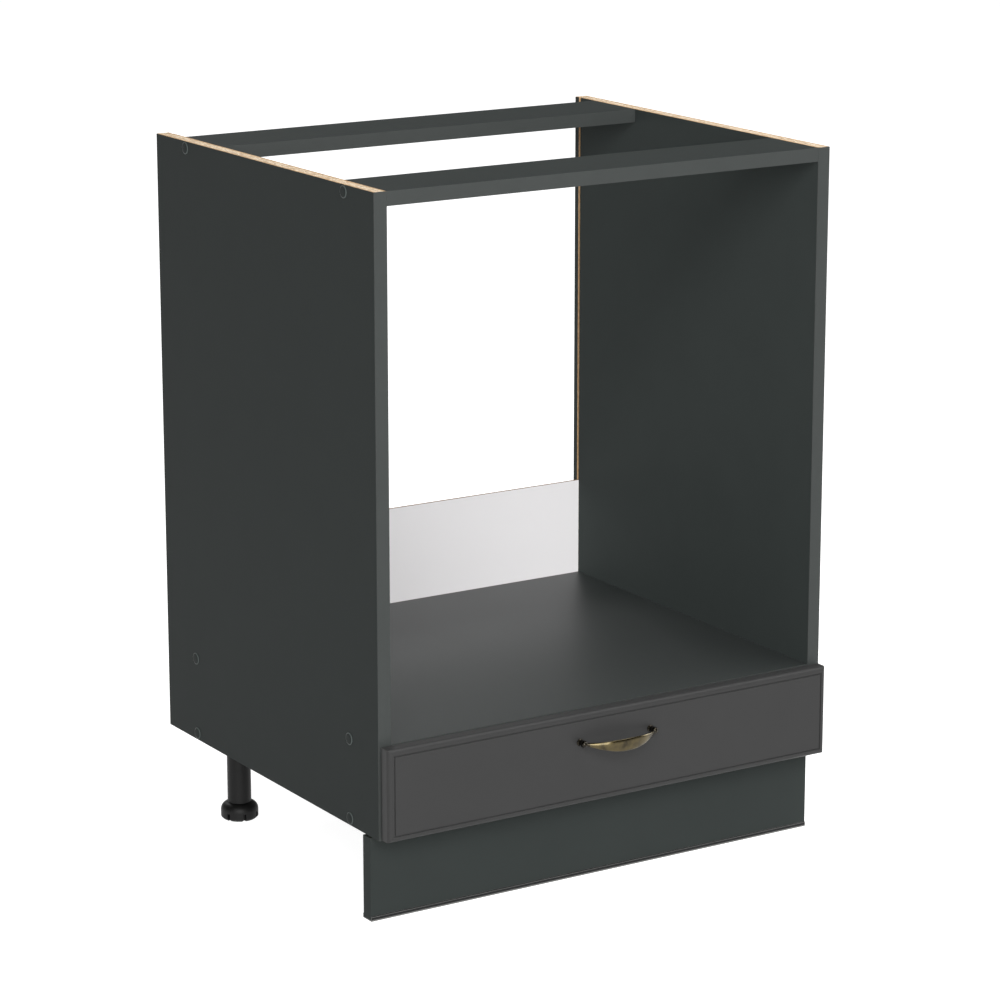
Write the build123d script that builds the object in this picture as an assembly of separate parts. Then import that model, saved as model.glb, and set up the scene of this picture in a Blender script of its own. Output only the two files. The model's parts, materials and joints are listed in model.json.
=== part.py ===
from build123d import *
import math
import os

# Oven housing unit: a base cabinet on adjustable legs, open for a built-under oven,
# with a flap-front space below the oven shelf and a clip-on plinth.
# While it is drawn, x is zero on the centre line, y is zero on the front edges of the
# side panels and grows to the rear, and z is zero on the floor. All sizes are millimetres.

# Carcass
unit_width = 600.0
unit_depth = 500.0
leg_height = 100.0
board = 16.0
niche_height = 595.0
storage_height = 77.0
rail_width = 90.0
rear_rail_setback = 42.0
band = 1.0

# Back strip in its grooves
back_thickness = 3.0
back_above_shelf = 121.0
groove_width = 4.0
groove_depth = 8.0
groove_margin = 8.0
back_play = 0.3

# Screws in general: the point over the shank's radius, and the head's flat and rim
screw_point = 1.6
screw_head_flat = 0.7
screw_head_rim = 0.35
cross_recess_reach = 1.9
cross_recess_width = 0.9
cross_recess_depth = 1.0

# Joints of the boards: connecting screws, their caps, and dowels
screw_setback = 64.0
rear_screw_setback = 72.0
screw_length = 50.0
screw_radius = 3.5
screw_head_radius = 5.0
screw_head_depth = 4.0
screw_sink = 0.4
screw_socket_radius = 2.2
screw_socket_depth = 3.0
fixing_play = 0.1
cap_radius = 7.0
cap_height = 1.3
cap_rim = 0.5
cap_crown_radius = 3.2
cap_crown_drop = 0.15
cap_shoulder_radius = 6.0
cap_shoulder_drop = 0.4
cap_stub_length = 2.5
dowel_radius = 4.0
dowel_length = 30.0
dowel_in_side = 10.0
dowel_chamfer = 1.0
dowel_offset = 32.0

# Screws that hold the back strip
back_screw_radius = 1.5
back_screw_length = 20.0
back_screw_head_radius = 3.5
back_screw_head = 1.4
back_screw_spacing = 200.0

# Legs
leg_inset_x = 45.0
front_leg_y = 66.0
rear_leg_setback = 90.0
leg_radius = 14.25
leg_wall = 2.2
socket_plate = 58.0
socket_plate_thickness = 4.0
socket_corner = 8.0
socket_collar = 7.0
socket_wall = 2.6
socket_rib = 2.0
socket_rib_depth = 3.5
socket_rib_reach = 27.0
foot_radius = 22.5
foot_height = 20.0
foot_bevel = 2.5
foot_side = 10.0
foot_notches = 7
foot_notch_width = 3.6
foot_notch_depth = 5.5
foot_notch_height = 9.0
foot_stem_length = 44.0
moving_gap = 0.3
leg_screw_offset = 24.0
leg_screw_radius = 1.8
leg_screw_length = 14.0
leg_screw_head_radius = 3.6
leg_screw_head = 2.2

# Flap
flap_side_reveal = 2.0
flap_bottom_overhang = 1.5
flap_top_reveal = 0.5
flap_thickness = 16.0
flap_gap = 2.0
flap_edge_round = 5.4
frame_line_inset = 6.6
frame_line_width = 1.8
frame_line_depth = 1.2

# Hinge axis of the flap: the point about which it turns a quarter of a turn
pivot_y = -11.25
pivot_z_above_flap_edge = 5.25

# Cup hinges
hinge_inset = 95.0
cup_edge_distance = 5.0
cup_bore_radius = 17.5
cup_bore_depth = 12.5
cup_wall = 1.0
cup_rim = 1.1
cup_rim_thickness = 1.2
cup_rim_bevel = 0.6
flange_width = 66.0
flange_height = 23.0
flange_thickness = 1.7
flange_corner = 1.5
cup_screw_spacing = 48.0
cup_screw_radius = 1.8
cup_screw_length = 12.0
cup_screw_head_radius = 3.6

# Link between arm and cup: where its cup end is pinned, measured from the flap's pivot
link_pin_out = 8.5
link_pin_up = 7.5
link_arm_height = 19.25
link_width = 13.0
link_tip_width = 11.0
link_thickness = 1.4
link_bow = 1.0
link_taper_start = 0.35
link_taper_end = 0.7
arm_eye_radius = 2.2
tip_eye_radius = 1.5
arm_pin_radius = 1.2
tip_pin_radius = 0.8
pin_play = 0.05
pin_head_radius = 1.9
pin_head = 0.6
ear_radius = 2.4
ear_thickness = 1.5

# Hinge arm and its mounting plate
arm_sheet = 1.2
arm_play = 0.9
arm_nose_radius = 2.5
arm_tail_y = 60.0
arm_foot_clearance = 0.4
arm_web_front = 4.0
arm_tail_slope = 7.5
arm_tail_rise = 5.0
mount_line_y = 37.0
mount_screw_spacing = 32.0
mount_wing_length = 64.0
mount_wing_depth = 22.0
mount_wing_corner = 5.5
mount_wing_thickness = 2.4
mount_rail_front = 12.0
mount_rail_back = 58.0
mount_rail_height = 9.6
mount_rail_chamfer = 1.2
mount_screw_radius = 3.1
mount_screw_length = 11.0
mount_screw_head_radius = 4.6
mount_screw_head = 1.4
arm_screw_radius = 2.4
arm_screw_head_radius = 4.2
arm_screw_head = 1.8
arm_screw_grip = 4.5
arm_screw_front_y = 16.0

# Handle
handle_spacing = 96.0
handle_below_flap_top = 33.0
handle_reach = 27.0
handle_base_radius = 4.4
handle_base_thickness = 2.0
handle_base_rim = 1.0
handle_collar_radius = 3.5
handle_collar_height = 4.0
handle_neck_radius = 2.8
handle_ball_radius = 4.2
handle_ball_reach = 8.5
grip_height = 14.5
grip_tip_height = 3.4
grip_thickness = 3.4
grip_droop = 3.2
grip_fullness = 1.25
grip_sections = 9
handle_screw_radius = 2.0
handle_screw_head_radius = 4.2
handle_screw_head = 2.0
handle_screw_grip = 7.0

# Plinth with its seal and clips
plinth_setback = 20.0
plinth_thickness = 16.0
plinth_top_gap = 2.5
seal_wall = 1.2
seal_height = 6.0
clip_height = 18.0
clip_wall = 3.0
clip_z = 58.0
clip_neck_width = 9.0
clip_jaw_reach = 8.0
clip_plate_width = 44.0
clip_plate_height = 30.0
clip_plate_thickness = 4.0
clip_screw_spacing = 30.0
clip_screw_radius = 1.8
clip_screw_length = 16.0
clip_screw_head_radius = 3.6
clip_screw_head = 2.2

# Places that follow from the sizes above
half_width = unit_width / 2
inner_half = half_width - board
floor_top = leg_height + board
shelf_top = floor_top + storage_height + board
carcass_top = shelf_top + niche_height + board
board_mid = board / 2
groove_front_y = unit_depth - groove_margin - groove_width
rear_rail_y = unit_depth - rear_rail_setback
board_back_y = groove_front_y
screw_rows_y = (screw_setback, unit_depth - rear_screw_setback)
screw_levels = (leg_height + board_mid, shelf_top - board_mid, carcass_top - board_mid)
dowel_rows_y = [y - dowel_offset for y in screw_rows_y]
leg_x = half_width - leg_inset_x
leg_rows_y = (front_leg_y, unit_depth - rear_leg_setback)
flap_half = half_width - flap_side_reveal
flap_bottom = leg_height + flap_bottom_overhang
flap_top = shelf_top - flap_top_reveal
flap_inner_y = -flap_gap
flap_front_y = flap_inner_y - flap_thickness
pivot_z = flap_bottom + pivot_z_above_flap_edge
hinge_x = flap_half - hinge_inset
cup_z = flap_bottom + cup_edge_distance + cup_bore_radius
link_cup_y = pivot_y + link_pin_out
link_cup_z = pivot_z + link_pin_up
link_arm_z = pivot_z + link_arm_height
link_lean = (link_pin_out - link_pin_up) / (link_pin_out + link_pin_up)
link_arm_y = pivot_y + link_arm_height * link_lean
arm_inner_half = link_width / 2 + arm_play
arm_outer_half = arm_inner_half + arm_sheet
arm_top = link_arm_z + arm_eye_radius + arm_foot_clearance + arm_sheet
arm_underside = arm_top - arm_sheet
rail_half = arm_inner_half - moving_gap
wing_top = floor_top + mount_wing_thickness
rail_top = floor_top + mount_rail_height
handle_z = flap_top - handle_below_flap_top
handle_front_y = flap_front_y - handle_reach
plinth_back_y = plinth_setback + plinth_thickness
plinth_top = leg_height - plinth_top_gap
centre_y = (unit_depth + handle_front_y - grip_thickness / 2) / 2


def span(x0, x1, y0, y1, z0, z1):
    """Block between two corners."""
    middle = Pos((x0 + x1) / 2, (y0 + y1) / 2, (z0 + z1) / 2)
    return middle * Box(x1 - x0, y1 - y0, z1 - z0)


def turned(outline):
    """Solid turned about z from (radius, height) points that start and end on the axis."""
    return turned_face(make_face(Polyline(*outline, close=True)))


def turned_face(face):
    """Solid turned about z from a flat face drawn as (radius, height)."""
    return revolve(Plane.XZ * face, Axis.Z, 360)


def save(name, *solids):
    """Write one named node, moved so that the origin is under the middle of the unit."""
    moved = [Pos(0, -centre_y, 0) * solid for solid in solids]
    pieces = [piece for shape in moved for piece in shape.solids()]
    export_step(Compound(pieces) if len(pieces) > 1 else pieces[0], f"parts/{name}.step")


def wood_screw(radius, length, head_radius, head):
    """Flat-headed screw along z: head from zero up, shank down to a pointed tip."""
    tip = radius * screw_point
    body = turned([
        (0, head), (head_radius * screw_head_flat, head), (head_radius, head * screw_head_rim),
        (head_radius, 0), (radius, 0), (radius, tip - length), (0, -length),
    ])
    return body - cross_recess(head)


def sunk_screw(radius, length, head_radius):
    """Countersunk screw along z, its head flush with zero."""
    slope = head_radius - radius
    tip = radius * screw_point
    body = turned([(0, 0), (head_radius, 0), (radius, -slope), (radius, tip - length), (0, -length)])
    return body - cross_recess(0)


def cross_recess(top):
    """Cutters for the driver's cross in a screw head whose face is at the given height."""
    arm = Pos(0, 0, top) * Box(2 * cross_recess_reach, cross_recess_width, 2 * cross_recess_depth)
    return [arm, Rot(0, 0, 90) * arm]


# Board joints

def connecting_screw():
    """Connecting screw along z, head upwards and flush with zero, with a socket."""
    body = turned([
        (0, 0), (screw_head_radius, 0), (screw_radius, -screw_head_depth),
        (screw_radius, screw_radius - screw_length), (0, -screw_length),
    ])
    socket = Pos(0, 0, -screw_socket_depth / 2) * Cylinder(screw_socket_radius, screw_socket_depth)
    return body - socket


def cover_cap():
    """Crowned cap along z, its rim on zero and its stub in the socket of the screw."""
    stub_radius = screw_socket_radius - fixing_play
    return turned([
        (0, cap_height), (cap_crown_radius, cap_height - cap_crown_drop),
        (cap_shoulder_radius, cap_height - cap_shoulder_drop), (cap_radius, cap_rim),
        (cap_radius, 0), (stub_radius, 0), (stub_radius, -cap_stub_length), (0, -cap_stub_length),
    ])


def on_side(shape, side, depth, y, z):
    """Stand a shape made along z on a side panel's outer face, sunk by depth."""
    return Pos(side * (half_width - depth), y, z) * Rot(0, side * 90, 0) * shape


def joint_places():
    """Every (side, y, z) that has a connecting screw."""
    return [(side, y, z) for side in (-1, 1) for z in screw_levels for y in screw_rows_y]


def dowel_places():
    """Every (side, y, z) that has a dowel."""
    return [(side, y, z) for side in (-1, 1) for z in screw_levels for y in dowel_rows_y]


def screw_bore():
    """Clearance cut for one connecting screw, as the screw stands."""
    play = fixing_play
    return turned([
        (0, screw_sink), (screw_head_radius + play, screw_sink), (screw_head_radius + play, 0),
        (screw_radius + play, -screw_head_depth), (screw_radius + play, -screw_length - play),
        (0, -screw_length - play),
    ])


def dowel_at(shape, side, y, z):
    """Lay a shape made along z across the joint between a side and a cross board."""
    return Pos(side * (inner_half + dowel_in_side - dowel_length / 2), y, z) * Rot(0, 90, 0) * shape


def drilled(panel, z0, z1, sides=(-1, 1)):
    """Cut the connecting screws' and dowels' holes that lie between two heights."""
    bore = Cylinder(dowel_radius + fixing_play, dowel_length + 2 * fixing_play)
    cuts = [on_side(screw_bore(), side, screw_sink, y, z)
            for side, y, z in joint_places() if side in sides and z0 < z < z1]
    cuts += [dowel_at(bore, side, y, z)
             for side, y, z in dowel_places() if side in sides and z0 < z < z1]
    return panel - cuts


def connecting_screws():
    return [on_side(connecting_screw(), side, screw_sink, y, z) for side, y, z in joint_places()]


def cover_caps():
    return [on_side(cover_cap(), side, 0, y, z) for side, y, z in joint_places()]


def dowels():
    dowel = Cylinder(dowel_radius, dowel_length)
    dowel = chamfer(dowel.edges().filter_by(GeomType.CIRCLE), dowel_chamfer)
    return [dowel_at(dowel, side, y, z) for side, y, z in dowel_places()]


# Boards

def side_panel(side):
    """Side board with the groove for the back strip in its inner face."""
    inner, outer = sorted((side * inner_half, side * half_width))
    panel = span(inner, outer, band, unit_depth, leg_height, carcass_top)
    groove_x = sorted((side * inner_half, side * (inner_half + groove_depth)))
    panel -= span(*groove_x, groove_front_y, groove_front_y + groove_width, leg_height, carcass_top)
    return drilled(panel, leg_height, carcass_top, sides=(side,))


def cross_board(y0, y1, z_top):
    """Board between the sides."""
    panel = span(-inner_half, inner_half, y0, y1, z_top - board, z_top)
    return drilled(panel, z_top - board, z_top)


def rear_rail():
    return cross_board(rear_rail_y - rail_width, rear_rail_y, carcass_top)


def oven_shelf():
    shelf = cross_board(band, board_back_y, shelf_top)
    return shelf - back_screw_bores()


def bottom_panel():
    """Floor of the unit, bored for the hinge plates, the leg screws and the back."""
    panel = cross_board(band, board_back_y, floor_top) - back_screw_bores()
    plate_bore = Cylinder(mount_screw_radius + fixing_play, mount_screw_length + 2 * fixing_play)
    plate_bores = [Pos(x, mount_line_y, floor_top - mount_screw_length / 2) * plate_bore
                   for x in mount_screw_places()]
    leg_bore = Cylinder(leg_screw_radius + fixing_play, 2 * leg_screw_length)
    leg_bores = [Pos(x, y, leg_height) * leg_bore for x, y in leg_screw_places()]
    return panel - plate_bores - leg_bores


def edge_bands():
    """Bands glued to the front edges of the boards."""
    levels = (floor_top, shelf_top, carcass_top)
    strips = [span(-inner_half, inner_half, 0, band, top - board, top) for top in levels]
    strips += [span(*sorted((side * inner_half, side * half_width)), 0, band, leg_height, carcass_top)
               for side in (-1, 1)]
    return strips


# Back strip

def back_strip():
    """Thin board that closes the lower rear, held in the side panels' grooves."""
    reach = inner_half + groove_depth - back_play
    top = shelf_top + back_above_shelf
    front = groove_front_y + (groove_width - back_thickness) / 2
    strip = span(-reach, reach, front, front + back_thickness, leg_height, top)
    return strip - back_screw_bores()


def back_screw_places():
    return [(x, z) for x in (-back_screw_spacing, 0, back_screw_spacing) for z in screw_levels[:2]]


def back_face_y():
    return groove_front_y + (groove_width + back_thickness) / 2


def back_screw_bores():
    bore = Cylinder(back_screw_radius + fixing_play, 2 * back_screw_length)
    return [Pos(x, back_face_y(), z) * Rot(90, 0, 0) * bore for x, z in back_screw_places()]


def back_screws():
    screw = wood_screw(back_screw_radius, back_screw_length, back_screw_head_radius, back_screw_head)
    return [Pos(x, back_face_y(), z) * Rot(-90, 0, 0) * screw for x, z in back_screw_places()]


# Legs

def leg_places():
    return [(side * leg_x, y) for y in leg_rows_y for side in (-1, 1)]


def leg_screw_places():
    """Three screws round each socket: front, rear, and towards the centre line."""
    places = []
    for x, y in leg_places():
        side = math.copysign(1, x)
        places += [(x, y - leg_screw_offset), (x, y + leg_screw_offset),
                   (x - side * leg_screw_offset, y)]
    return places


def leg_socket():
    """Plate with a collar that takes the top of the leg, its seat at height zero."""
    plate = extrude(RectangleRounded(socket_plate, socket_plate, socket_corner), -socket_plate_thickness)
    collar_height = socket_plate_thickness + socket_collar
    collar = Pos(0, 0, -collar_height / 2) * Cylinder(leg_radius + socket_wall, collar_height)
    bore = Cylinder(leg_radius + fixing_play, socket_collar)
    bore = Pos(0, 0, -collar_height + socket_collar / 2) * bore
    rib = span(-socket_rib_reach, socket_rib_reach, -socket_rib / 2, socket_rib / 2,
               -socket_plate_thickness - socket_rib_depth, -socket_plate_thickness)
    ribs = [Rot(0, 0, angle) * rib for angle in (45, 135)]
    return plate + collar + ribs - bore


def leg_sockets():
    bore = Cylinder(leg_screw_radius + fixing_play, 4 * socket_plate_thickness)
    bores = [Pos(x, y, leg_height) * bore for x, y in leg_screw_places()]
    return [Pos(x, y, leg_height) * leg_socket() - bores for x, y in leg_places()]


def leg_tubes():
    top = leg_height - socket_plate_thickness
    bottom = foot_height + moving_gap
    height = top - bottom
    tube = Cylinder(leg_radius, height) - Pos(0, 0, -leg_wall) * Cylinder(leg_radius - leg_wall, height)
    return [Pos(x, y, bottom + height / 2) * tube for x, y in leg_places()]


def leg_screws():
    screw = wood_screw(leg_screw_radius, leg_screw_length, leg_screw_head_radius, leg_screw_head)
    seat = leg_height - socket_plate_thickness
    return [Pos(x, y, seat) * Rot(180, 0, 0) * screw for x, y in leg_screw_places()]


def foot():
    """Adjustable foot: a domed sole with notches for turning it, and a stem for the tube."""
    shoulder = leg_radius
    stem = leg_radius - leg_wall - moving_gap
    side = Polyline((0, 0), (foot_radius - foot_bevel, 0), (foot_radius, foot_bevel),
                    (foot_radius, foot_side))
    dome = SagittaArc((foot_radius, foot_side), (shoulder, foot_height), -foot_bevel)
    top = foot_height + foot_stem_length
    upper = Polyline((shoulder, foot_height), (stem, foot_height), (stem, top), (0, top), (0, 0))
    body = turned_face(make_face(side + dome + upper))
    reach = foot_radius - foot_notch_depth
    notch = span(reach, 2 * foot_radius, -foot_notch_width / 2, foot_notch_width / 2,
                 0, foot_notch_height)
    return body - [Rot(0, 0, 360 / foot_notches * i) * notch for i in range(foot_notches)]


# Flap

def flap_board():
    """Front of the lower space: rounded edge, framing line, bores for cups and screws."""
    board_block = span(-flap_half, flap_half, flap_front_y, flap_inner_y, flap_bottom, flap_top)
    front_edges = board_block.faces().sort_by(Axis.Y)[0].edges()
    shaped = fillet(front_edges, flap_edge_round)
    shaped -= framing_line()
    bore = Rot(90, 0, 0) * Cylinder(cup_bore_radius, cup_bore_depth)
    bores = [Pos(x, flap_inner_y - cup_bore_depth / 2, cup_z) * bore for x in hinge_places()]
    small = Rot(90, 0, 0) * Cylinder(cup_screw_radius + fixing_play, 2 * cup_screw_length)
    bores += [Pos(x, flap_inner_y, cup_z) * small for x in cup_screw_places()]
    through = Rot(90, 0, 0) * Cylinder(handle_screw_radius + fixing_play, 4 * flap_thickness)
    bores += [Pos(x, flap_inner_y, handle_z) * through for x in handle_places()]
    return shaped - bores


def framing_line():
    """Shallow groove that runs round the front a little inside its edge."""
    middle_z = (flap_bottom + flap_top) / 2
    width = 2 * (flap_half - frame_line_inset)
    height = flap_top - flap_bottom - 2 * frame_line_inset
    inside = Rectangle(width - 2 * frame_line_width, height - 2 * frame_line_width)
    ring = Rectangle(width, height) - inside
    plane = Plane(origin=(0, flap_front_y, middle_z), x_dir=(1, 0, 0), z_dir=(0, -1, 0))
    return extrude(plane * ring, -frame_line_depth)


# Handle

def handle_places():
    return (-handle_spacing / 2, handle_spacing / 2)


def grip_section(t):
    """Oval section of the grip, with t from -1 at one post to 1 at the other."""
    half = handle_spacing / 2
    rise = handle_reach - handle_ball_reach
    radius = (half ** 2 + rise ** 2) / (2 * rise)
    angle = t * math.asin(half / radius)
    x = radius * math.sin(angle)
    y = handle_front_y + radius * (1 - math.cos(angle))
    fullness = math.cos(t * math.pi / 2) ** grip_fullness
    height = grip_tip_height + (grip_height - grip_tip_height) * fullness
    droop = grip_droop * (1 - t * t)
    plane = Plane(origin=(x, y, handle_z - droop), x_dir=(0, 0, 1),
                  z_dir=(math.cos(angle), math.sin(angle), 0))
    return plane * Ellipse(height / 2, grip_thickness / 2)


def handle():
    """Bow handle: two turned posts with ball ends and a leaf-shaped grip between them."""
    steps = grip_sections - 1
    grip = loft([grip_section(2 * i / steps - 1) for i in range(grip_sections)])
    post = turned([
        (0, 0), (handle_base_radius, 0), (handle_base_radius, handle_base_rim),
        (handle_collar_radius, handle_base_thickness), (handle_neck_radius, handle_collar_height),
        (handle_neck_radius, handle_ball_reach), (0, handle_ball_reach),
    ])
    ball = Pos(0, 0, handle_ball_reach) * Sphere(handle_ball_radius)
    bore_depth = handle_screw_grip + fixing_play
    bore = Pos(0, 0, bore_depth / 2) * Cylinder(handle_screw_radius + fixing_play, bore_depth)
    stand = [Pos(x, flap_front_y, handle_z) * Rot(90, 0, 0) * (post + ball) for x in handle_places()]
    bores = [Pos(x, flap_front_y, handle_z) * Rot(90, 0, 0) * bore for x in handle_places()]
    return grip + stand - bores


def handle_screws():
    length = flap_thickness + handle_screw_grip
    screw = wood_screw(handle_screw_radius, length, handle_screw_head_radius, handle_screw_head)
    return [Pos(x, flap_inner_y, handle_z) * Rot(-90, 0, 0) * screw for x in handle_places()]


# Cup hinges

def hinge_places():
    return (-hinge_x, hinge_x)


def cup_screw_places():
    return [x + side * cup_screw_spacing / 2 for x in hinge_places() for side in (-1, 1)]


def mount_screw_places():
    return [x + side * mount_screw_spacing / 2 for x in hinge_places() for side in (-1, 1)]


def on_flap(x, shape):
    """Place a shape made along z, with zero on the flap's inner face at the cup's centre."""
    return Pos(x, flap_inner_y, cup_z) * Rot(-90, 0, 0) * shape


def hinge_cup(x):
    """Pressed cup with its rim, screw flange and the two ears beside the link's end."""
    outer = cup_bore_radius - fixing_play
    inner = outer - cup_wall
    depth = cup_bore_depth - fixing_play
    shell = turned([
        (0, -depth), (inner, -depth), (outer, cup_wall - depth), (outer, 0),
        (outer + cup_rim, 0), (outer + cup_rim, cup_rim_thickness - cup_rim_bevel),
        (outer + cup_rim - cup_rim_bevel, cup_rim_thickness), (0, cup_rim_thickness),
    ])
    flange = extrude(RectangleRounded(flange_width, flange_height, flange_corner), flange_thickness)
    hollow_depth = depth - cup_wall
    hollow = Pos(0, 0, hollow_depth) * Cylinder(inner, 4 * hollow_depth)
    seats = [Pos(side * cup_screw_spacing / 2, 0, flange_thickness) * cup_screw_seat()
             for side in (-1, 1)]
    cup = on_flap(x, shell + flange - hollow - seats)
    return cup + cup_ears(x)


def cup_screw_seat():
    """Countersink and hole for one flange screw, its face at height zero."""
    wide = cup_screw_head_radius + fixing_play
    narrow = cup_screw_radius + fixing_play
    depth = 4 * flange_thickness
    return turned([(0, 0), (wide, 0), (narrow, narrow - wide), (narrow, -depth), (0, -depth)])


def cup_ears(x):
    """Ears in the cup, one each side of the link, bored on the line of its cup pin."""
    floor_y = flap_inner_y - cup_bore_depth + fixing_play + cup_wall / 2
    ear = Pos(link_cup_y, link_cup_z) * Circle(ear_radius)
    leg = (Pos((floor_y + link_cup_y) / 2, link_cup_z)
           * Rectangle(link_cup_y - floor_y, 2 * ear_radius))
    hole = Pos(link_cup_y, link_cup_z) * Circle(tip_pin_radius + pin_play)
    profile = Plane.YZ * (ear + leg - hole)
    first = link_width / 2 + moving_gap
    plates = extrude(profile, ear_thickness)
    return [Pos(x + offset, 0, 0) * plates for offset in (first, -first - ear_thickness)]


def cup_screws():
    """Countersunk screws that hold the cup flanges to the flap."""
    screw = sunk_screw(cup_screw_radius, cup_screw_length, cup_screw_head_radius)
    return [Pos(x, flap_inner_y + flange_thickness, cup_z) * Rot(-90, 0, 0) * screw
            for x in cup_screw_places()]


def link_outline():
    """Side view of the link: an eye at each end, joined by a gently bowed strip."""
    arm_end = (link_arm_y, link_arm_z)
    cup_end = (link_cup_y, link_cup_z)
    length = math.dist(arm_end, cup_end)
    lean = math.degrees(math.atan2(cup_end[1] - arm_end[1], cup_end[0] - arm_end[0]))
    half = link_thickness / 2
    upper = SagittaArc((0, half), (length, half), -link_bow)
    lower = SagittaArc((0, -half), (length, -half), -link_bow)
    ends = Line((length, half), (length, -half)) + Line((0, half), (0, -half))
    strip = make_face(upper + lower + ends)
    eyes = Circle(arm_eye_radius) + Pos(length, 0) * Circle(tip_eye_radius)
    holes = Circle(arm_pin_radius + pin_play) + Pos(length, 0) * Circle(tip_pin_radius)
    return Pos(*arm_end) * Rot(0, 0, lean) * (strip + eyes - holes)


def hinge_link(x):
    """Link that joins the arm's nose to the cup, narrower at the cup."""
    solid = extrude(Plane.YZ * link_outline(), link_width / 2, both=True)
    length = math.dist((link_arm_y, link_arm_z), (link_cup_y, link_cup_z))
    across = (0, link_arm_z - link_cup_z, link_cup_y - link_arm_y)
    plane = Plane(origin=(0, link_arm_y, link_arm_z), x_dir=(1, 0, 0), z_dir=across)
    wide = link_width / 2
    tip = link_tip_width / 2
    back = -2 * arm_eye_radius
    front = length + 2 * tip_eye_radius
    taper_start = link_taper_start * length
    taper_end = link_taper_end * length
    plan = Polygon((-wide, back), (wide, back), (wide, taper_start), (tip, taper_end), (tip, front),
                   (-tip, front), (-tip, taper_end), (-wide, taper_start), align=None)
    return Pos(x, 0, 0) * (solid & extrude(plane * plan, length, both=True))


def arm_pins():
    """Riveted pins that hold the links in the arms' noses."""
    pin = Cylinder(arm_pin_radius, 2 * arm_outer_half)
    head = Cylinder(pin_head_radius, pin_head)
    reach = arm_outer_half + pin_head / 2
    whole = pin + [Pos(0, 0, side * reach) * head for side in (-1, 1)]
    return [Pos(x, link_arm_y, link_arm_z) * Rot(0, 90, 0) * whole for x in hinge_places()]


def cup_pin(x):
    """Pin in the link's cup end, no longer than the link is wide there."""
    return Pos(x, link_cup_y, link_cup_z) * Rot(0, 90, 0) * Cylinder(tip_pin_radius, link_tip_width)


def hinge_arm(x):
    """Folded arm: two cheeks and a web, reaching forward to the link's pivot."""
    top = arm_top
    foot_z = wing_top + arm_foot_clearance
    nose = Pos(link_arm_y, link_arm_z) * Circle(arm_nose_radius)
    outline = Polygon(
        (arm_tail_y, top), (arm_web_front, top), (link_arm_y, link_arm_z + arm_nose_radius),
        (link_arm_y, link_arm_z - arm_nose_radius), (arm_web_front, foot_z),
        (arm_tail_y - arm_tail_slope, foot_z), (arm_tail_y, foot_z + arm_tail_rise), align=None)
    whole = extrude(Plane.YZ * (outline + nose), arm_outer_half, both=True)
    far = 3 * arm_tail_y
    channel = span(-arm_inner_half, arm_inner_half, -far, far, 0, arm_underside)
    open_front = span(-arm_inner_half, arm_inner_half, -far, arm_web_front - arm_nose_radius, 0, 2 * top)
    pin_hole = Cylinder(arm_pin_radius + pin_play, far)
    arm = whole - channel - open_front - Pos(0, link_arm_y, link_arm_z) * Rot(0, 90, 0) * pin_hole
    hole = Cylinder(arm_screw_radius + fixing_play, 4 * arm_sheet)
    holes = [Pos(0, y, top) * hole for y in (arm_screw_front_y, mount_line_y)]
    return Pos(x, 0, 0) * (arm - holes)


def mounting_plate(x):
    """Cross plate on the unit's floor: two wings and a raised rail for the arm."""
    outline = RectangleRounded(mount_wing_length, mount_wing_depth, mount_wing_corner)
    wings = Pos(0, mount_line_y, floor_top) * extrude(outline, mount_wing_thickness)
    rail = span(-rail_half, rail_half, mount_rail_front, mount_rail_back, floor_top, rail_top)
    rail = chamfer(rail.faces().sort_by(Axis.Z)[-1].edges(), mount_rail_chamfer)
    wing_bore = Cylinder(mount_screw_radius + fixing_play, 8 * mount_wing_thickness)
    bores = [Pos(side * mount_screw_spacing / 2, mount_line_y, floor_top) * wing_bore for side in (-1, 1)]
    rail_bore = Cylinder(arm_screw_radius + fixing_play, 2 * (arm_screw_grip + fixing_play))
    bores += [Pos(0, y, rail_top) * rail_bore for y in (arm_screw_front_y, mount_line_y)]
    return Pos(x, 0, 0) * (wings + rail - bores)


def mounting_plate_screws():
    screw = wood_screw(mount_screw_radius, mount_screw_length + mount_wing_thickness,
                       mount_screw_head_radius, mount_screw_head)
    return [Pos(x, mount_line_y, wing_top) * screw for x in mount_screw_places()]


def arm_screws():
    """Adjusting and fixing screws that hold each arm on its plate."""
    length = arm_top - rail_top + arm_screw_grip
    screw = wood_screw(arm_screw_radius, length, arm_screw_head_radius, arm_screw_head)
    places = [(x, y) for x in hinge_places() for y in (arm_screw_front_y, mount_line_y)]
    return [Pos(x, y, arm_top) * screw for x, y in places]


# Plinth

def plinth_board():
    board_block = span(-half_width, half_width, plinth_setback, plinth_back_y, seal_wall, plinth_top)
    bore = Rot(90, 0, 0) * Cylinder(clip_screw_radius + fixing_play, 2 * clip_screw_length)
    face = plinth_back_y + clip_plate_thickness
    return board_block - [Pos(x, face, z) * bore for x, z in clip_screw_places()]


def plinth_seal():
    """Channel pushed over the plinth's lower edge, with splayed lips."""
    front = plinth_setback - seal_wall
    back = plinth_back_y + seal_wall
    outer = Polygon((front, 0), (back, 0), (back, seal_height - seal_wall), (plinth_back_y, seal_height),
                    (plinth_setback, seal_height), (front, seal_height - seal_wall), align=None)
    slot = Rectangle(plinth_thickness, seal_height - seal_wall)
    middle = Pos((plinth_setback + plinth_back_y) / 2, (seal_wall + seal_height) / 2)
    return extrude(Plane.YZ * (outer - middle * slot), half_width, both=True)


def clip_places():
    return (-leg_x, leg_x)


def clip_screw_places():
    z = clip_z + clip_height / 2
    return [(x + side * clip_screw_spacing / 2, z) for x in clip_places() for side in (-1, 1)]


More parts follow.
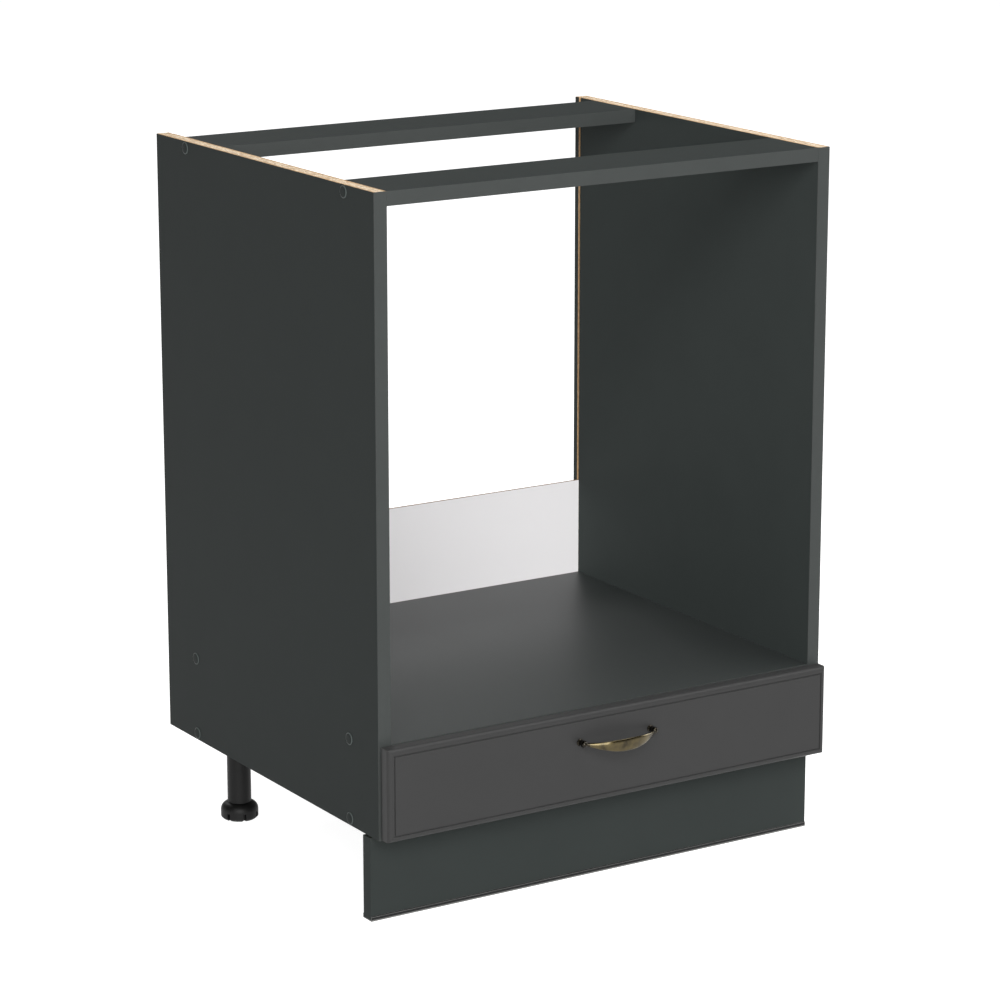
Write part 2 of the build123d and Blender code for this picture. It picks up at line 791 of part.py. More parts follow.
def plinth_clip(x):
    """Clip screwed behind the plinth, with a jaw that slides onto the leg from the front."""
    inner = leg_radius + moving_gap
    outer = inner + clip_wall
    jaw = Pos(0, front_leg_y) * Circle(outer)
    jaw += Pos(0, front_leg_y + clip_jaw_reach / 2) * Rectangle(2 * outer, clip_jaw_reach)
    beyond = Pos(0, front_leg_y + clip_jaw_reach + outer) * Rectangle(4 * outer, 2 * outer)
    mouth = Pos(0, front_leg_y) * Circle(inner)
    mouth += Pos(0, front_leg_y + outer) * Rectangle(2 * inner, 2 * outer)
    neck_end = front_leg_y - inner - clip_wall / 2
    neck = Pos(0, (plinth_back_y + neck_end) / 2) * Rectangle(clip_neck_width, neck_end - plinth_back_y)
    body = extrude(Pos(0, 0, clip_z) * (jaw + neck - beyond - mouth), clip_height)
    middle_z = clip_z + clip_height / 2
    plate = Box(clip_plate_width, clip_plate_thickness, clip_plate_height)
    plate = fillet(plate.edges().filter_by(Axis.Y), clip_plate_thickness)
    plate = Pos(0, plinth_back_y + clip_plate_thickness / 2, middle_z) * plate
    bore = Rot(90, 0, 0) * Cylinder(clip_screw_radius + fixing_play, 4 * clip_plate_thickness)
    bores = [Pos(side * clip_screw_spacing / 2, plinth_back_y, middle_z) * bore for side in (-1, 1)]
    return Pos(x, 0, 0) * (body + plate - bores)


def clip_screws():
    screw = wood_screw(clip_screw_radius, clip_screw_length, clip_screw_head_radius, clip_screw_head)
    face = plinth_back_y + clip_plate_thickness
    return [Pos(x, face, z) * Rot(-90, 0, 0) * screw for x, z in clip_screw_places()]


os.makedirs("parts", exist_ok=True)

save("left_side_panel", side_panel(-1))
save("right_side_panel", side_panel(1))
save("front_top_rail", cross_board(band, rail_width, carcass_top))
save("rear_top_rail", rear_rail())
save("oven_shelf", oven_shelf())
save("bottom_panel", bottom_panel())
save("edge_bands", *edge_bands())
save("back_strip", back_strip())
save("back_screws", *back_screws())
save("connecting_screws", *connecting_screws())
save("cover_caps", *cover_caps())
save("dowels", *dowels())
save("leg_sockets", *leg_sockets())
save("leg_tubes", *leg_tubes())
save("leg_screws", *leg_screws())
foot_names = ("front_left_foot", "front_right_foot", "rear_left_foot", "rear_right_foot")
for foot_name, (leg_place_x, leg_place_y) in zip(foot_names, leg_places()):
    save(foot_name, Pos(leg_place_x, leg_place_y, 0) * foot())
save("flap_board", flap_board())
save("handle", handle())
save("handle_screws", *handle_screws())
for side_name, hinge_centre in zip(("left", "right"), hinge_places()):
    save(side_name + "_hinge_cup", hinge_cup(hinge_centre))
    save(side_name + "_hinge_link", hinge_link(hinge_centre))
    save(side_name + "_cup_pin", cup_pin(hinge_centre))
    save(side_name + "_hinge_arm", hinge_arm(hinge_centre))
    save(side_name + "_mounting_plate", mounting_plate(hinge_centre))
save("cup_screws", *cup_screws())
save("arm_pins", *arm_pins())
save("arm_screws", *arm_screws())
save("mounting_plate_screws", *mounting_plate_screws())
save("plinth_board", plinth_board())
save("plinth_seal", plinth_seal())
save("plinth_clips", *[plinth_clip(x) for x in clip_places()])
save("clip_screws", *clip_screws())
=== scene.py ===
import json
import math

import bpy
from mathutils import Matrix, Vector


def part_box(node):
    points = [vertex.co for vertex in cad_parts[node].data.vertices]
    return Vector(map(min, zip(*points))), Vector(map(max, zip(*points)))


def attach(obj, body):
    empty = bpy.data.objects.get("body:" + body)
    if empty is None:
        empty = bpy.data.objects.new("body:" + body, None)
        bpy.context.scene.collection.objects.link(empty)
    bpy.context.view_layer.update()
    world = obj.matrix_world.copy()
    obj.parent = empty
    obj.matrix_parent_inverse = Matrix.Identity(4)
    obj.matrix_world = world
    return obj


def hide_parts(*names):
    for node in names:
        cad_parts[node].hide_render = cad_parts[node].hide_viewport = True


bl_info = {
    "name": "Oven Housing Unit",
    "version": (1, 0, 0),
    "blender": (4, 5, 0),
    "location": "3D View > Sidebar > Oven Unit",
    "description": "Base cabinet for a built-under oven, with a drop-down flap, plinth and adjustable legs",
    "category": "Object",
}

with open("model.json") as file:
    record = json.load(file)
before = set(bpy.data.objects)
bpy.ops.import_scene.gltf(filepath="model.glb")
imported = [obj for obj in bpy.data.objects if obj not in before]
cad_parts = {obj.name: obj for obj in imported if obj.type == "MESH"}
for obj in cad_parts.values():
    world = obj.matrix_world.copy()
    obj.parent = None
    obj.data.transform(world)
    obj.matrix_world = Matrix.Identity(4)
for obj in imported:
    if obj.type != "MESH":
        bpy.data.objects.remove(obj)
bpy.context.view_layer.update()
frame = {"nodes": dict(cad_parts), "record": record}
bodies = frame["record"]["behaviour"]["bodies"]

MM = 0.001
WHITE = (1.0, 1.0, 1.0, 1.0)


def linear(code):
    """An sRGB hex colour as the linear colour that shaders take."""
    parts = [int(code[i:i + 2], 16) / 255 for i in (1, 3, 5)]
    return tuple(c / 12.92 if c <= 0.04045 else ((c + 0.055) / 1.055) ** 2.4 for c in parts) + (1.0,)


def shade(colour, factor):
    """A colour made lighter or darker by a factor."""
    return tuple(min(1.0, c * factor) for c in colour[:3]) + (1.0,)


def reach(node_name, axis):
    """A node's lowest and highest place along one axis at rest, in metres."""
    low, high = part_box(node_name)
    index = "XYZ".index(axis)
    return low[index], high[index]


def middle_mm(node_name, axis):
    """How far a node's middle is from the frame's middle along one axis."""
    low, high = reach(node_name, axis)
    return abs(low + high) / 2 / MM


# Finishes

# Sockets of a colour Mix node, whose names are all alike
FACTOR, FIRST, SECOND, MIXED = 0, 6, 7, 2

# Stops that a new colour ramp already has
OWN_STOPS = 2


def scale_for(size_mm):
    """A texture's scale for patches about so many millimetres across."""
    return 1.0 / (size_mm * MM)


def feed(tree, node, inputs):
    """Set a node's values and make its links."""
    for socket, value in inputs.items():
        if isinstance(value, bpy.types.NodeSocket):
            tree.links.new(value, node.inputs[socket])
        else:
            node.inputs[socket].default_value = value


def add(tree, kind, inputs=None, stops=(), **settings):
    """Add one node, with its settings, its values, its links and its colour stops."""
    made = tree.nodes.new(kind)
    for name, value in settings.items():
        setattr(made, name, value)
    feed(tree, made, inputs or {})
    for index, (place, colour) in enumerate(stops):
        elements = made.color_ramp.elements
        element = elements[index] if index < OWN_STOPS else elements.new(place)
        element.position = place
        element.color = colour
    return made


def start(name):
    """Start a material: its tree, its shader and the object's own coordinates."""
    finish = bpy.data.materials.new(name)
    finish.use_nodes = True
    tree = finish.node_tree
    coords = add(tree, "ShaderNodeTexCoord").outputs["Object"]
    return finish, tree, tree.nodes["Principled BSDF"], coords


def faced_board(name, colour, sheen, roughness):
    """Melamine facing, pressed on chipboard: satin, with a fine pearl texture."""
    # The real pearl is about 0.5 mm across; it is drawn coarser so that it shows.
    patch_mm, pearl_mm, relief_mm = 55.0, 1.1, 0.05
    darker, lighter = shade(colour, 0.95), shade(colour, 1.05)
    smoother, rougher = roughness - 0.03, roughness + 0.03
    finish, tree, shader, coords = start(name)
    patches = add(tree, "ShaderNodeTexNoise",
                  {"Vector": coords, "Scale": scale_for(patch_mm), "Detail": 3.0}).outputs["Fac"]
    tone = add(tree, "ShaderNodeMix", {FACTOR: patches, FIRST: darker, SECOND: lighter},
               data_type="RGBA")
    pearl = add(tree, "ShaderNodeTexNoise",
                {"Vector": coords, "Scale": scale_for(pearl_mm), "Detail": 2.0}).outputs["Fac"]
    gloss = add(tree, "ShaderNodeMapRange", {"Value": pearl, "To Min": smoother, "To Max": rougher})
    bump = add(tree, "ShaderNodeBump",
               {"Height": pearl, "Distance": relief_mm * MM, "Strength": 0.16})
    feed(tree, shader, {"Base Color": tone.outputs[MIXED], "Roughness": gloss.outputs["Result"],
                        "Normal": bump.outputs["Normal"], "Specular IOR Level": sheen})
    return finish


def chipboard(name, axis, from_middle_mm):
    """Sawn chipboard: coarse pale chips in the core, finer browner ones under each facing."""
    chip_length_mm, chip_thickness_mm, relief_mm = 7.0, 1.3, 0.25
    core_half_mm = 5.0
    # Outlines bend about every so many millimetres, by this share of a chip
    bend_mm, sway = 4.0, (0.3, 0.3, 0.3)
    # The core's own scale, what the finer outer chips add to it, and the gaps' share of a chip
    core_scale, extra_scale, gap_share = 1.0, 1.2, 0.06
    finish, tree, shader, coords = start(name)
    place = add(tree, "ShaderNodeSeparateXYZ", {"Vector": coords}).outputs["XYZ".index(axis)]
    side = add(tree, "ShaderNodeMath", {0: place}, operation="ABSOLUTE").outputs[0]
    off_middle = add(tree, "ShaderNodeMath", {0: side, 1: from_middle_mm * MM},
                     operation="SUBTRACT").outputs[0]
    depth = add(tree, "ShaderNodeMath", {0: off_middle}, operation="ABSOLUTE").outputs[0]
    outer = add(tree, "ShaderNodeMath", {0: depth, 1: core_half_mm * MM},
                operation="GREATER_THAN").outputs[0]
    stretch = [scale_for(chip_thickness_mm if letter == axis else chip_length_mm) for letter in "XYZ"]
    lie = add(tree, "ShaderNodeMapping", {"Vector": coords, "Scale": stretch}).outputs[0]
    wander = add(tree, "ShaderNodeTexNoise",
                 {"Vector": coords, "Scale": scale_for(bend_mm), "Detail": 2.0}).outputs["Color"]
    bent = add(tree, "ShaderNodeVectorMath", {0: wander, 1: sway, 2: lie},
               operation="MULTIPLY_ADD").outputs[0]
    finer = add(tree, "ShaderNodeMath", {0: outer, 1: extra_scale, 2: core_scale},
                operation="MULTIPLY_ADD").outputs[0]
    chips = add(tree, "ShaderNodeTexVoronoi", {"Vector": bent, "Scale": finer}).outputs["Color"]
    gaps = add(tree, "ShaderNodeTexVoronoi", {"Vector": bent, "Scale": finer},
               feature="DISTANCE_TO_EDGE").outputs["Distance"]
    value = add(tree, "ShaderNodeSeparateColor", {"Color": chips}).outputs[0]
    wood = add(tree, "ShaderNodeValToRGB", {"Fac": value}, stops=[
        (0.0, linear("#C4A683")), (1.0, linear("#F0E2CC")), (0.35, linear("#DCC3A2")),
        (0.7, linear("#E6D2B6"))]).outputs[0]
    layer = add(tree, "ShaderNodeMix", {FACTOR: outer, FIRST: wood, SECOND: linear("#EAD8C0")},
                data_type="RGBA", blend_type="MULTIPLY").outputs[MIXED]
    edge = add(tree, "ShaderNodeMapRange", {"Value": gaps, "From Max": gap_share}).outputs["Result"]
    tone = add(tree, "ShaderNodeMix", {FACTOR: edge, FIRST: linear("#98795A"), SECOND: layer},
               data_type="RGBA")
    bump = add(tree, "ShaderNodeBump",
               {"Height": edge, "Distance": relief_mm * MM, "Strength": 0.8})
    feed(tree, shader, {"Base Color": tone.outputs[MIXED], "Roughness": 0.85,
                        "Normal": bump.outputs["Normal"]})
    return finish


def edge_banding(name, colour):
    """ABS banding, extruded and glued on: satin, with faint streaks along it."""
    streak_mm, grain_mm, relief_mm = 30.0, 0.9, 0.04
    darker, lighter = shade(colour, 0.95), shade(colour, 1.06)
    squeeze = (1.0, 30.0, 1.0)
    finish, tree, shader, coords = start(name)
    drawn = add(tree, "ShaderNodeMapping", {"Vector": coords, "Scale": squeeze}).outputs[0]
    streaks = add(tree, "ShaderNodeTexNoise",
                  {"Vector": drawn, "Scale": scale_for(streak_mm), "Detail": 2.0}).outputs["Fac"]
    tone = add(tree, "ShaderNodeMix", {FACTOR: streaks, FIRST: darker, SECOND: lighter},
               data_type="RGBA")
    gloss = add(tree, "ShaderNodeMapRange", {"Value": streaks, "To Min": 0.36, "To Max": 0.44})
    grain = add(tree, "ShaderNodeTexNoise",
                {"Vector": coords, "Scale": scale_for(grain_mm), "Detail": 2.0}).outputs["Fac"]
    bump = add(tree, "ShaderNodeBump",
               {"Height": grain, "Distance": relief_mm * MM, "Strength": 0.14})
    feed(tree, shader, {"Base Color": tone.outputs[MIXED], "Roughness": gloss.outputs["Result"],
                        "Normal": bump.outputs["Normal"], "Specular IOR Level": 0.16})
    return finish


def foiled_front(name, colour):
    """Foil drawn over routed MDF: satin and even, softly uneven underneath."""
    patch_mm, grain_mm, relief_mm = 45.0, 1.3, 0.05
    darker, lighter = shade(colour, 0.96), shade(colour, 1.04)
    finish, tree, shader, coords = start(name)
    patches = add(tree, "ShaderNodeTexNoise",
                  {"Vector": coords, "Scale": scale_for(patch_mm), "Detail": 2.0}).outputs["Fac"]
    tone = add(tree, "ShaderNodeMix", {FACTOR: patches, FIRST: darker, SECOND: lighter},
               data_type="RGBA")
    grain = add(tree, "ShaderNodeTexNoise",
                {"Vector": coords, "Scale": scale_for(grain_mm), "Detail": 3.0}).outputs["Fac"]
    gloss = add(tree, "ShaderNodeMapRange", {"Value": grain, "To Min": 0.36, "To Max": 0.44})
    bump = add(tree, "ShaderNodeBump",
               {"Height": grain, "Distance": relief_mm * MM, "Strength": 0.18})
    feed(tree, shader, {"Base Color": tone.outputs[MIXED], "Roughness": gloss.outputs["Result"],
                        "Normal": bump.outputs["Normal"], "Specular IOR Level": 0.16})
    return finish


def white_facing(name, colour):
    """White lacquer or foil on fibreboard: smooth, with a faint orange peel."""
    patch_mm, peel_mm, relief_mm = 70.0, 2.4, 0.05
    darker = shade(colour, 0.98)
    finish, tree, shader, coords = start(name)
    patches = add(tree, "ShaderNodeTexNoise",
                  {"Vector": coords, "Scale": scale_for(patch_mm), "Detail": 2.0}).outputs["Fac"]
    tone = add(tree, "ShaderNodeMix", {FACTOR: patches, FIRST: darker, SECOND: colour},
               data_type="RGBA")
    peel = add(tree, "ShaderNodeTexNoise",
               {"Vector": coords, "Scale": scale_for(peel_mm), "Detail": 2.0}).outputs["Fac"]
    gloss = add(tree, "ShaderNodeMapRange", {"Value": peel, "To Min": 0.38, "To Max": 0.46})
    bump = add(tree, "ShaderNodeBump",
               {"Height": peel, "Distance": relief_mm * MM, "Strength": 0.12})
    feed(tree, shader, {"Base Color": tone.outputs[MIXED], "Roughness": gloss.outputs["Result"],
                        "Normal": bump.outputs["Normal"]})
    return finish


def hardboard(name):
    """Raw fibreboard: brown, matt, with short matted fibres."""
    fibre_mm, relief_mm = 1.6, 0.15
    finish, tree, shader, coords = start(name)
    fibres = add(tree, "ShaderNodeTexNoise",
                 {"Vector": coords, "Scale": scale_for(fibre_mm), "Detail": 5.0}).outputs["Fac"]
    tone = add(tree, "ShaderNodeValToRGB", {"Fac": fibres}, stops=[
        (0.3, linear("#6F4C2E")), (0.7, linear("#A57B50"))])
    bump = add(tree, "ShaderNodeBump",
               {"Height": fibres, "Distance": relief_mm * MM, "Strength": 0.4})
    feed(tree, shader, {"Base Color": tone.outputs["Color"], "Roughness": 0.8,
                        "Normal": bump.outputs["Normal"]})
    return finish


def moulded_plastic(name, colour, roughness, sheen):
    """Injection moulded polypropylene or polyethylene: softly sheened, with an eroded skin."""
    patch_mm, skin_mm, relief_mm = 12.0, 0.8, 0.05
    darker, lighter = shade(colour, 0.85), shade(colour, 1.2)
    smoother, rougher = roughness - 0.06, roughness + 0.08
    finish, tree, shader, coords = start(name)
    patches = add(tree, "ShaderNodeTexNoise",
                  {"Vector": coords, "Scale": scale_for(patch_mm), "Detail": 2.0}).outputs["Fac"]
    tone = add(tree, "ShaderNodeMix", {FACTOR: patches, FIRST: darker, SECOND: lighter},
               data_type="RGBA")
    skin = add(tree, "ShaderNodeTexNoise",
               {"Vector": coords, "Scale": scale_for(skin_mm), "Detail": 3.0}).outputs["Fac"]
    gloss = add(tree, "ShaderNodeMapRange", {"Value": skin, "To Min": smoother, "To Max": rougher})
    bump = add(tree, "ShaderNodeBump",
               {"Height": skin, "Distance": relief_mm * MM, "Strength": 0.25})
    feed(tree, shader, {"Base Color": tone.outputs[MIXED], "Roughness": gloss.outputs["Result"],
                        "Normal": bump.outputs["Normal"], "Specular IOR Level": sheen})
    return finish


def plated_steel(name, colour, roughness):
    """Pressed or turned steel, plated or browned: fine rolling lines, duller in patches."""
    patch_mm, line_mm, relief_mm = 5.0, 0.5, 0.02
    darker, lighter = shade(colour, 0.85), shade(colour, 1.15)
    smoother, rougher = roughness - 0.08, roughness + 0.1
    stretch = (1.0, 0.08, 1.0)
    finish, tree, shader, coords = start(name)
    patches = add(tree, "ShaderNodeTexNoise",
                  {"Vector": coords, "Scale": scale_for(patch_mm), "Detail": 3.0}).outputs["Fac"]
    tone = add(tree, "ShaderNodeMix", {FACTOR: patches, FIRST: darker, SECOND: lighter},
               data_type="RGBA")
    gloss = add(tree, "ShaderNodeMapRange", {"Value": patches, "To Min": smoother, "To Max": rougher})
    lines = add(tree, "ShaderNodeMapping", {"Vector": coords, "Scale": stretch}).outputs[0]
    rolled = add(tree, "ShaderNodeTexNoise",
                 {"Vector": lines, "Scale": scale_for(line_mm), "Detail": 3.0}).outputs["Fac"]
    bump = add(tree, "ShaderNodeBump",
               {"Height": rolled, "Distance": relief_mm * MM, "Strength": 0.2})
    feed(tree, shader, {"Base Color": tone.outputs[MIXED], "Roughness": gloss.outputs["Result"],
                        "Normal": bump.outputs["Normal"], "Metallic": 1.0})
    return finish


def aged_brass(name, colour, patina):
    """Cast brass, darkened, rubbed and lacquered: bright where hands reach, brown in the hollows."""
    patch_mm, hollow_mm, stroke_mm, relief_mm = 11.0, 4.0, 0.6, 0.02
    stretch = (0.06, 1.0, 1.0)
    finish, tree, shader, coords = start(name)
    patches = add(tree, "ShaderNodeTexNoise",
                  {"Vector": coords, "Scale": scale_for(patch_mm), "Detail": 6.0}).outputs["Fac"]
    rubbed = add(tree, "ShaderNodeMapRange",
                 {"Value": patches, "From Min": 0.30, "From Max": 0.62}).outputs["Result"]
    open_to = add(tree, "ShaderNodeAmbientOcclusion", {"Distance": hollow_mm * MM}).outputs["AO"]
    hollows = add(tree, "ShaderNodeMapRange",
                  {"Value": open_to, "From Min": 0.55, "From Max": 0.95}).outputs["Result"]
    worn = add(tree, "ShaderNodeMath", {0: rubbed, 1: hollows}, operation="MULTIPLY").outputs[0]
    tone = add(tree, "ShaderNodeMix", {FACTOR: worn, FIRST: patina, SECOND: colour},
               data_type="RGBA")
    gloss = add(tree, "ShaderNodeMapRange", {"Value": worn, "To Min": 0.32, "To Max": 0.18})
    strokes = add(tree, "ShaderNodeMapping", {"Vector": coords, "Scale": stretch}).outputs[0]
    brush = add(tree, "ShaderNodeTexNoise",
                {"Vector": strokes, "Scale": scale_for(stroke_mm), "Detail": 3.0}).outputs["Fac"]
    bump = add(tree, "ShaderNodeBump",
               {"Height": brush, "Distance": relief_mm * MM, "Strength": 0.2})
    feed(tree, shader, {"Base Color": tone.outputs[MIXED], "Roughness": gloss.outputs["Result"],
                        "Normal": bump.outputs["Normal"], "Metallic": 1.0,
                        "Coat Weight": 0.35, "Coat Roughness": 0.08})
    return finish


def soft_seal(name, colour):
    """Soft PVC profile, extruded: slightly glossy, drawn along its length."""
    line_mm, relief_mm = 0.7, 0.03
    darker, lighter = shade(colour, 0.8), shade(colour, 1.25)
    stretch = (0.02, 1.0, 1.0)
    finish, tree, shader, coords = start(name)
    drawn = add(tree, "ShaderNodeMapping", {"Vector": coords, "Scale": stretch}).outputs[0]
    lines = add(tree, "ShaderNodeTexNoise",
                {"Vector": drawn, "Scale": scale_for(line_mm), "Detail": 2.0}).outputs["Fac"]
    tone = add(tree, "ShaderNodeMix", {FACTOR: lines, FIRST: darker, SECOND: lighter},
               data_type="RGBA")
    gloss = add(tree, "ShaderNodeMapRange", {"Value": lines, "To Min": 0.42, "To Max": 0.55})
    bump = add(tree, "ShaderNodeBump",
               {"Height": lines, "Distance": relief_mm * MM, "Strength": 0.2})
    feed(tree, shader, {"Base Color": tone.outputs[MIXED], "Roughness": gloss.outputs["Result"],
                        "Normal": bump.outputs["Normal"], "Specular IOR Level": 0.25})
    return finish


def turned_beech(name):
    """Beech dowel: pale, with short dark flecks along the grain."""
    fleck_mm, relief_mm = 0.7, 0.05
    stretch = (0.12, 1.0, 1.0)
    finish, tree, shader, coords = start(name)
    along = add(tree, "ShaderNodeMapping", {"Vector": coords, "Scale": stretch}).outputs[0]
    flecks = add(tree, "ShaderNodeTexNoise",
                 {"Vector": along, "Scale": scale_for(fleck_mm), "Detail": 3.0}).outputs["Fac"]
    tone = add(tree, "ShaderNodeValToRGB", {"Fac": flecks}, stops=[
        (0.35, linear("#A9784A")), (0.6, linear("#D9B486"))])
    bump = add(tree, "ShaderNodeBump",
               {"Height": flecks, "Distance": relief_mm * MM, "Strength": 0.3})
    feed(tree, shader, {"Base Color": tone.outputs["Color"], "Roughness": 0.6,
                        "Normal": bump.outputs["Normal"]})
    return finish


def studio_white(name, colour, glow):
    """Matt paper floor: it takes the shadow, and shows as white to the camera and in gloss."""
    fibre_mm = 4.0
    darker = shade(colour, 0.99)
    finish, tree, shader, coords = start(name)
    fibres = add(tree, "ShaderNodeTexNoise",
                 {"Vector": coords, "Scale": scale_for(fibre_mm), "Detail": 2.0}).outputs["Fac"]
    tone = add(tree, "ShaderNodeMix", {FACTOR: fibres, FIRST: darker, SECOND: colour},
               data_type="RGBA")
    path = add(tree, "ShaderNodeLightPath")
    seen = path.outputs["Is Camera Ray"]
    for ray in ("Is Glossy Ray", "Is Transmission Ray"):
        seen = add(tree, "ShaderNodeMath", {0: seen, 1: path.outputs[ray]},
                   operation="MAXIMUM").outputs[0]
    strength = add(tree, "ShaderNodeMath", {0: seen, 1: glow}, operation="MULTIPLY").outputs[0]
    feed(tree, shader, {"Base Color": tone.outputs[MIXED], "Roughness": 0.9,
                        "Emission Color": WHITE, "Emission Strength": strength})
    return finish


# Work on pieces

# Corners nearer than this are joined, and faces that lie in one plane within this angle
JOIN_MM = 0.001
FLAT_DEGREES = 0.3

# Edges sharper than this angle are rounded, in so many steps
SHARP_DEGREES = 35.0
ROUNDING_STEPS = 2

# How deep inside its solid a face is tested
INSIDE_MM = 0.1

# A face lies at a level within this distance, and looks along an axis above this share of its normal
LEVEL_MM = 0.1
ALONG = 0.9


def place_object(name, data):
    """A new object in the scene."""
    made = bpy.data.objects.new(name, data)
    bpy.context.scene.collection.objects.link(made)
    return made


def take(piece):
    """Make one piece the only selected and active object."""
    bpy.ops.object.select_all(action="DESELECT")
    piece.select_set(True)
    bpy.context.view_layer.objects.active = piece


def inside(face):
    """A place just inside the solid that a face belongs to, in millimetres."""
    return face.center / MM - INSIDE_MM * face.normal


def worked_copy(node_name, piece_name, apart):
    """A copy of a CAD node's mesh as a new piece, joined up as a whole or by the tests for its parts."""
    piece = place_object(piece_name, frame["nodes"][node_name].data.copy())
    piece.data.materials.clear()
    take(piece)
    bpy.ops.mesh.customdata_custom_splitnormals_clear()
    bpy.ops.object.mode_set(mode="EDIT")
    bpy.ops.mesh.select_mode(type="FACE")
    for test in apart or (None,):
        bpy.ops.mesh.select_all(action="DESELECT" if test else "SELECT")
        if test:
            bpy.ops.object.mode_set(mode="OBJECT")
            for face in piece.data.polygons:
                face.select = test(inside(face))
            bpy.ops.object.mode_set(mode="EDIT")
        bpy.ops.mesh.remove_doubles(threshold=JOIN_MM * MM)
    bpy.ops.mesh.select_all(action="SELECT")
    bpy.ops.mesh.dissolve_limited(angle_limit=math.radians(FLAT_DEGREES))
    bpy.ops.object.mode_set(mode="OBJECT")
    return piece


def split_level(piece, height_mm):
    """Cut a piece's faces along one level, so that each side can take its own finish."""
    take(piece)
    bpy.ops.object.mode_set(mode="EDIT")
    bpy.ops.mesh.select_all(action="SELECT")
    bpy.ops.mesh.bisect(plane_co=(0.0, 0.0, height_mm * MM), plane_no=(0.0, 0.0, 1.0))
    bpy.ops.object.mode_set(mode="OBJECT")


def coat(piece, finishes, rule):
    """Put finishes on a piece, the first all over, or by a rule from normal and centre to index."""
    for finish in finishes:
        piece.data.materials.append(finish)
    for face in piece.data.polygons:
        face.material_index = rule(face.normal, face.center / MM) if rule else 0


def soften(piece, edge_mm, degrees):
    """Round a piece's edges sharper than an angle by so many millimetres, in the first finish."""
    take(piece)
    bevel = piece.modifiers.new("Softened edges", "BEVEL")
    bevel.width = edge_mm * MM
    bevel.segments = ROUNDING_STEPS
    bevel.limit_method = "ANGLE"
    bevel.angle_limit = math.radians(degrees)
    bevel.material = 0
    bpy.ops.object.modifier_apply(modifier=bevel.name)
    bpy.ops.object.shade_smooth_by_angle(angle=math.radians(degrees))
    flat = piece.modifiers.new("Flat faces kept flat", "WEIGHTED_NORMAL")
    flat.keep_sharp = True
    bpy.ops.object.modifier_apply(modifier=flat.name)


def dress(node_name, finishes, edge_mm, rule=None, degrees=SHARP_DEGREES, split_mm=None, apart=()):
    """Replace a CAD node by its worked copy, coated, softened and riding on the node's body."""
    piece = worked_copy(node_name, "looks_" + node_name, apart)
    if split_mm:
        split_level(piece, split_mm)
    coat(piece, finishes, rule)
    soften(piece, edge_mm, degrees)
    body = next(name for name, nodes in bodies.items() if node_name in nodes)
    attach(piece, body)
    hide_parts(node_name)


def at_level(place_mm, level_mm):
    """Whether a place lies at a level."""
    return abs(place_mm - level_mm) < LEVEL_MM


# Settings

def colour_setting(name, description, code):
    return bpy.props.FloatVectorProperty(name=name, description=description, subtype="COLOR",
                                         size=4, min=0.0, max=1.0, default=linear(code))


class BoardSettings(bpy.types.PropertyGroup):
    facing: colour_setting("Facing", "Colour of the boards' melamine facing", "#2F3332")
    banding: colour_setting("Banding", "Colour of the banding on the front edges", "#3C3F3E")
    lacquer: colour_setting("Back", "Colour of the back strip's front", "#F1EFF0")
    softness: bpy.props.FloatProperty(
        name="Edge softness", description="Rounding of the boards' edges", unit="LENGTH",
        default=0.0003, min=0.0001, max=0.001)


class FlapSettings(bpy.types.PropertyGroup):
    foil: colour_setting("Foil", "Colour of the flap's foil", "#363636")
    inside: colour_setting("Inside", "Colour of the flap's inner face", "#DEDADA")
    brass: colour_setting("Brass", "Colour of the handle where it is rubbed bright", "#544A30")
    patina: colour_setting("Patina", "Colour of the handle where it is darkened", "#2C2619")


class HardwareSettings(bpy.types.PropertyGroup):
    dark_plating: colour_setting("Dark plating", "Colour of the hinge arms and cups", "#3A3A3C")
    link_plating: colour_setting("Link plating", "Colour of the hinge links", "#434342")
    plate_plating: colour_setting("Plate plating", "Colour of the mounting plates", "#A9A8A4")
    bright_plating: colour_setting("Bright plating", "Colour of the pins and hinge screws", "#C4C1BA")
    zinc: colour_setting("Zinc", "Colour of the screws", "#B4B2A8")
    plastic: colour_setting("Plastic", "Colour of the legs, clips and sockets", "#0E0E0E")
    cap: colour_setting("Cap", "Colour of the cover caps", "#2B2F2E")
    seal: colour_setting("Seal", "Colour of the plinth's seal", "#0F1010")
    lip: colour_setting("Lip", "Colour of the seal's soft lower lip", "#6E6E6C")


class StudioSettings(bpy.types.PropertyGroup):
    paper: colour_setting("Paper", "Colour of the floor and wall", "#B4B4B4")
    floor_glow: bpy.props.FloatProperty(
        name="Floor glow", description="White that the floor adds for the camera and gloss",
        default=0.92, min=0.0, max=1.0)
    surround: bpy.props.FloatProperty(
        name="Surround", description="Strength of the even light from all round",
        default=0.08, min=0.0, max=2.0)
    key: bpy.props.FloatProperty(
        name="Key light", description="Power of the main soft light", unit="POWER",
        default=465.0, min=0.0, max=1000.0)
    rear: bpy.props.FloatProperty(
        name="Rear light", description="Power of the light on the back", unit="POWER",
        default=180.0, min=0.0, max=1000.0)
    side: bpy.props.FloatProperty(
        name="Side light", description="Power of the light on the right side", unit="POWER",
        default=110.0, min=0.0, max=1000.0)
    top: bpy.props.FloatProperty(
        name="Top light", description="Power of the light overhead", unit="POWER",
        default=78.0, min=0.0, max=1000.0)
    lens: bpy.props.FloatProperty(
        name="Lens", description="Focal length in millimetres", default=130.0, min=20.0, max=300.0)


class OvenUnitSettings(bpy.types.PropertyGroup):
    boards: bpy.props.PointerProperty(type=BoardSettings)
    flap: bpy.props.PointerProperty(type=FlapSettings)
    hardware: bpy.props.PointerProperty(type=HardwareSettings)
    studio: bpy.props.PointerProperty(type=StudioSettings)


# Boards

SIDE_INNER_MM, SIDE_OUTER_MM = (place / MM for place in reach("right_side_panel", "X"))

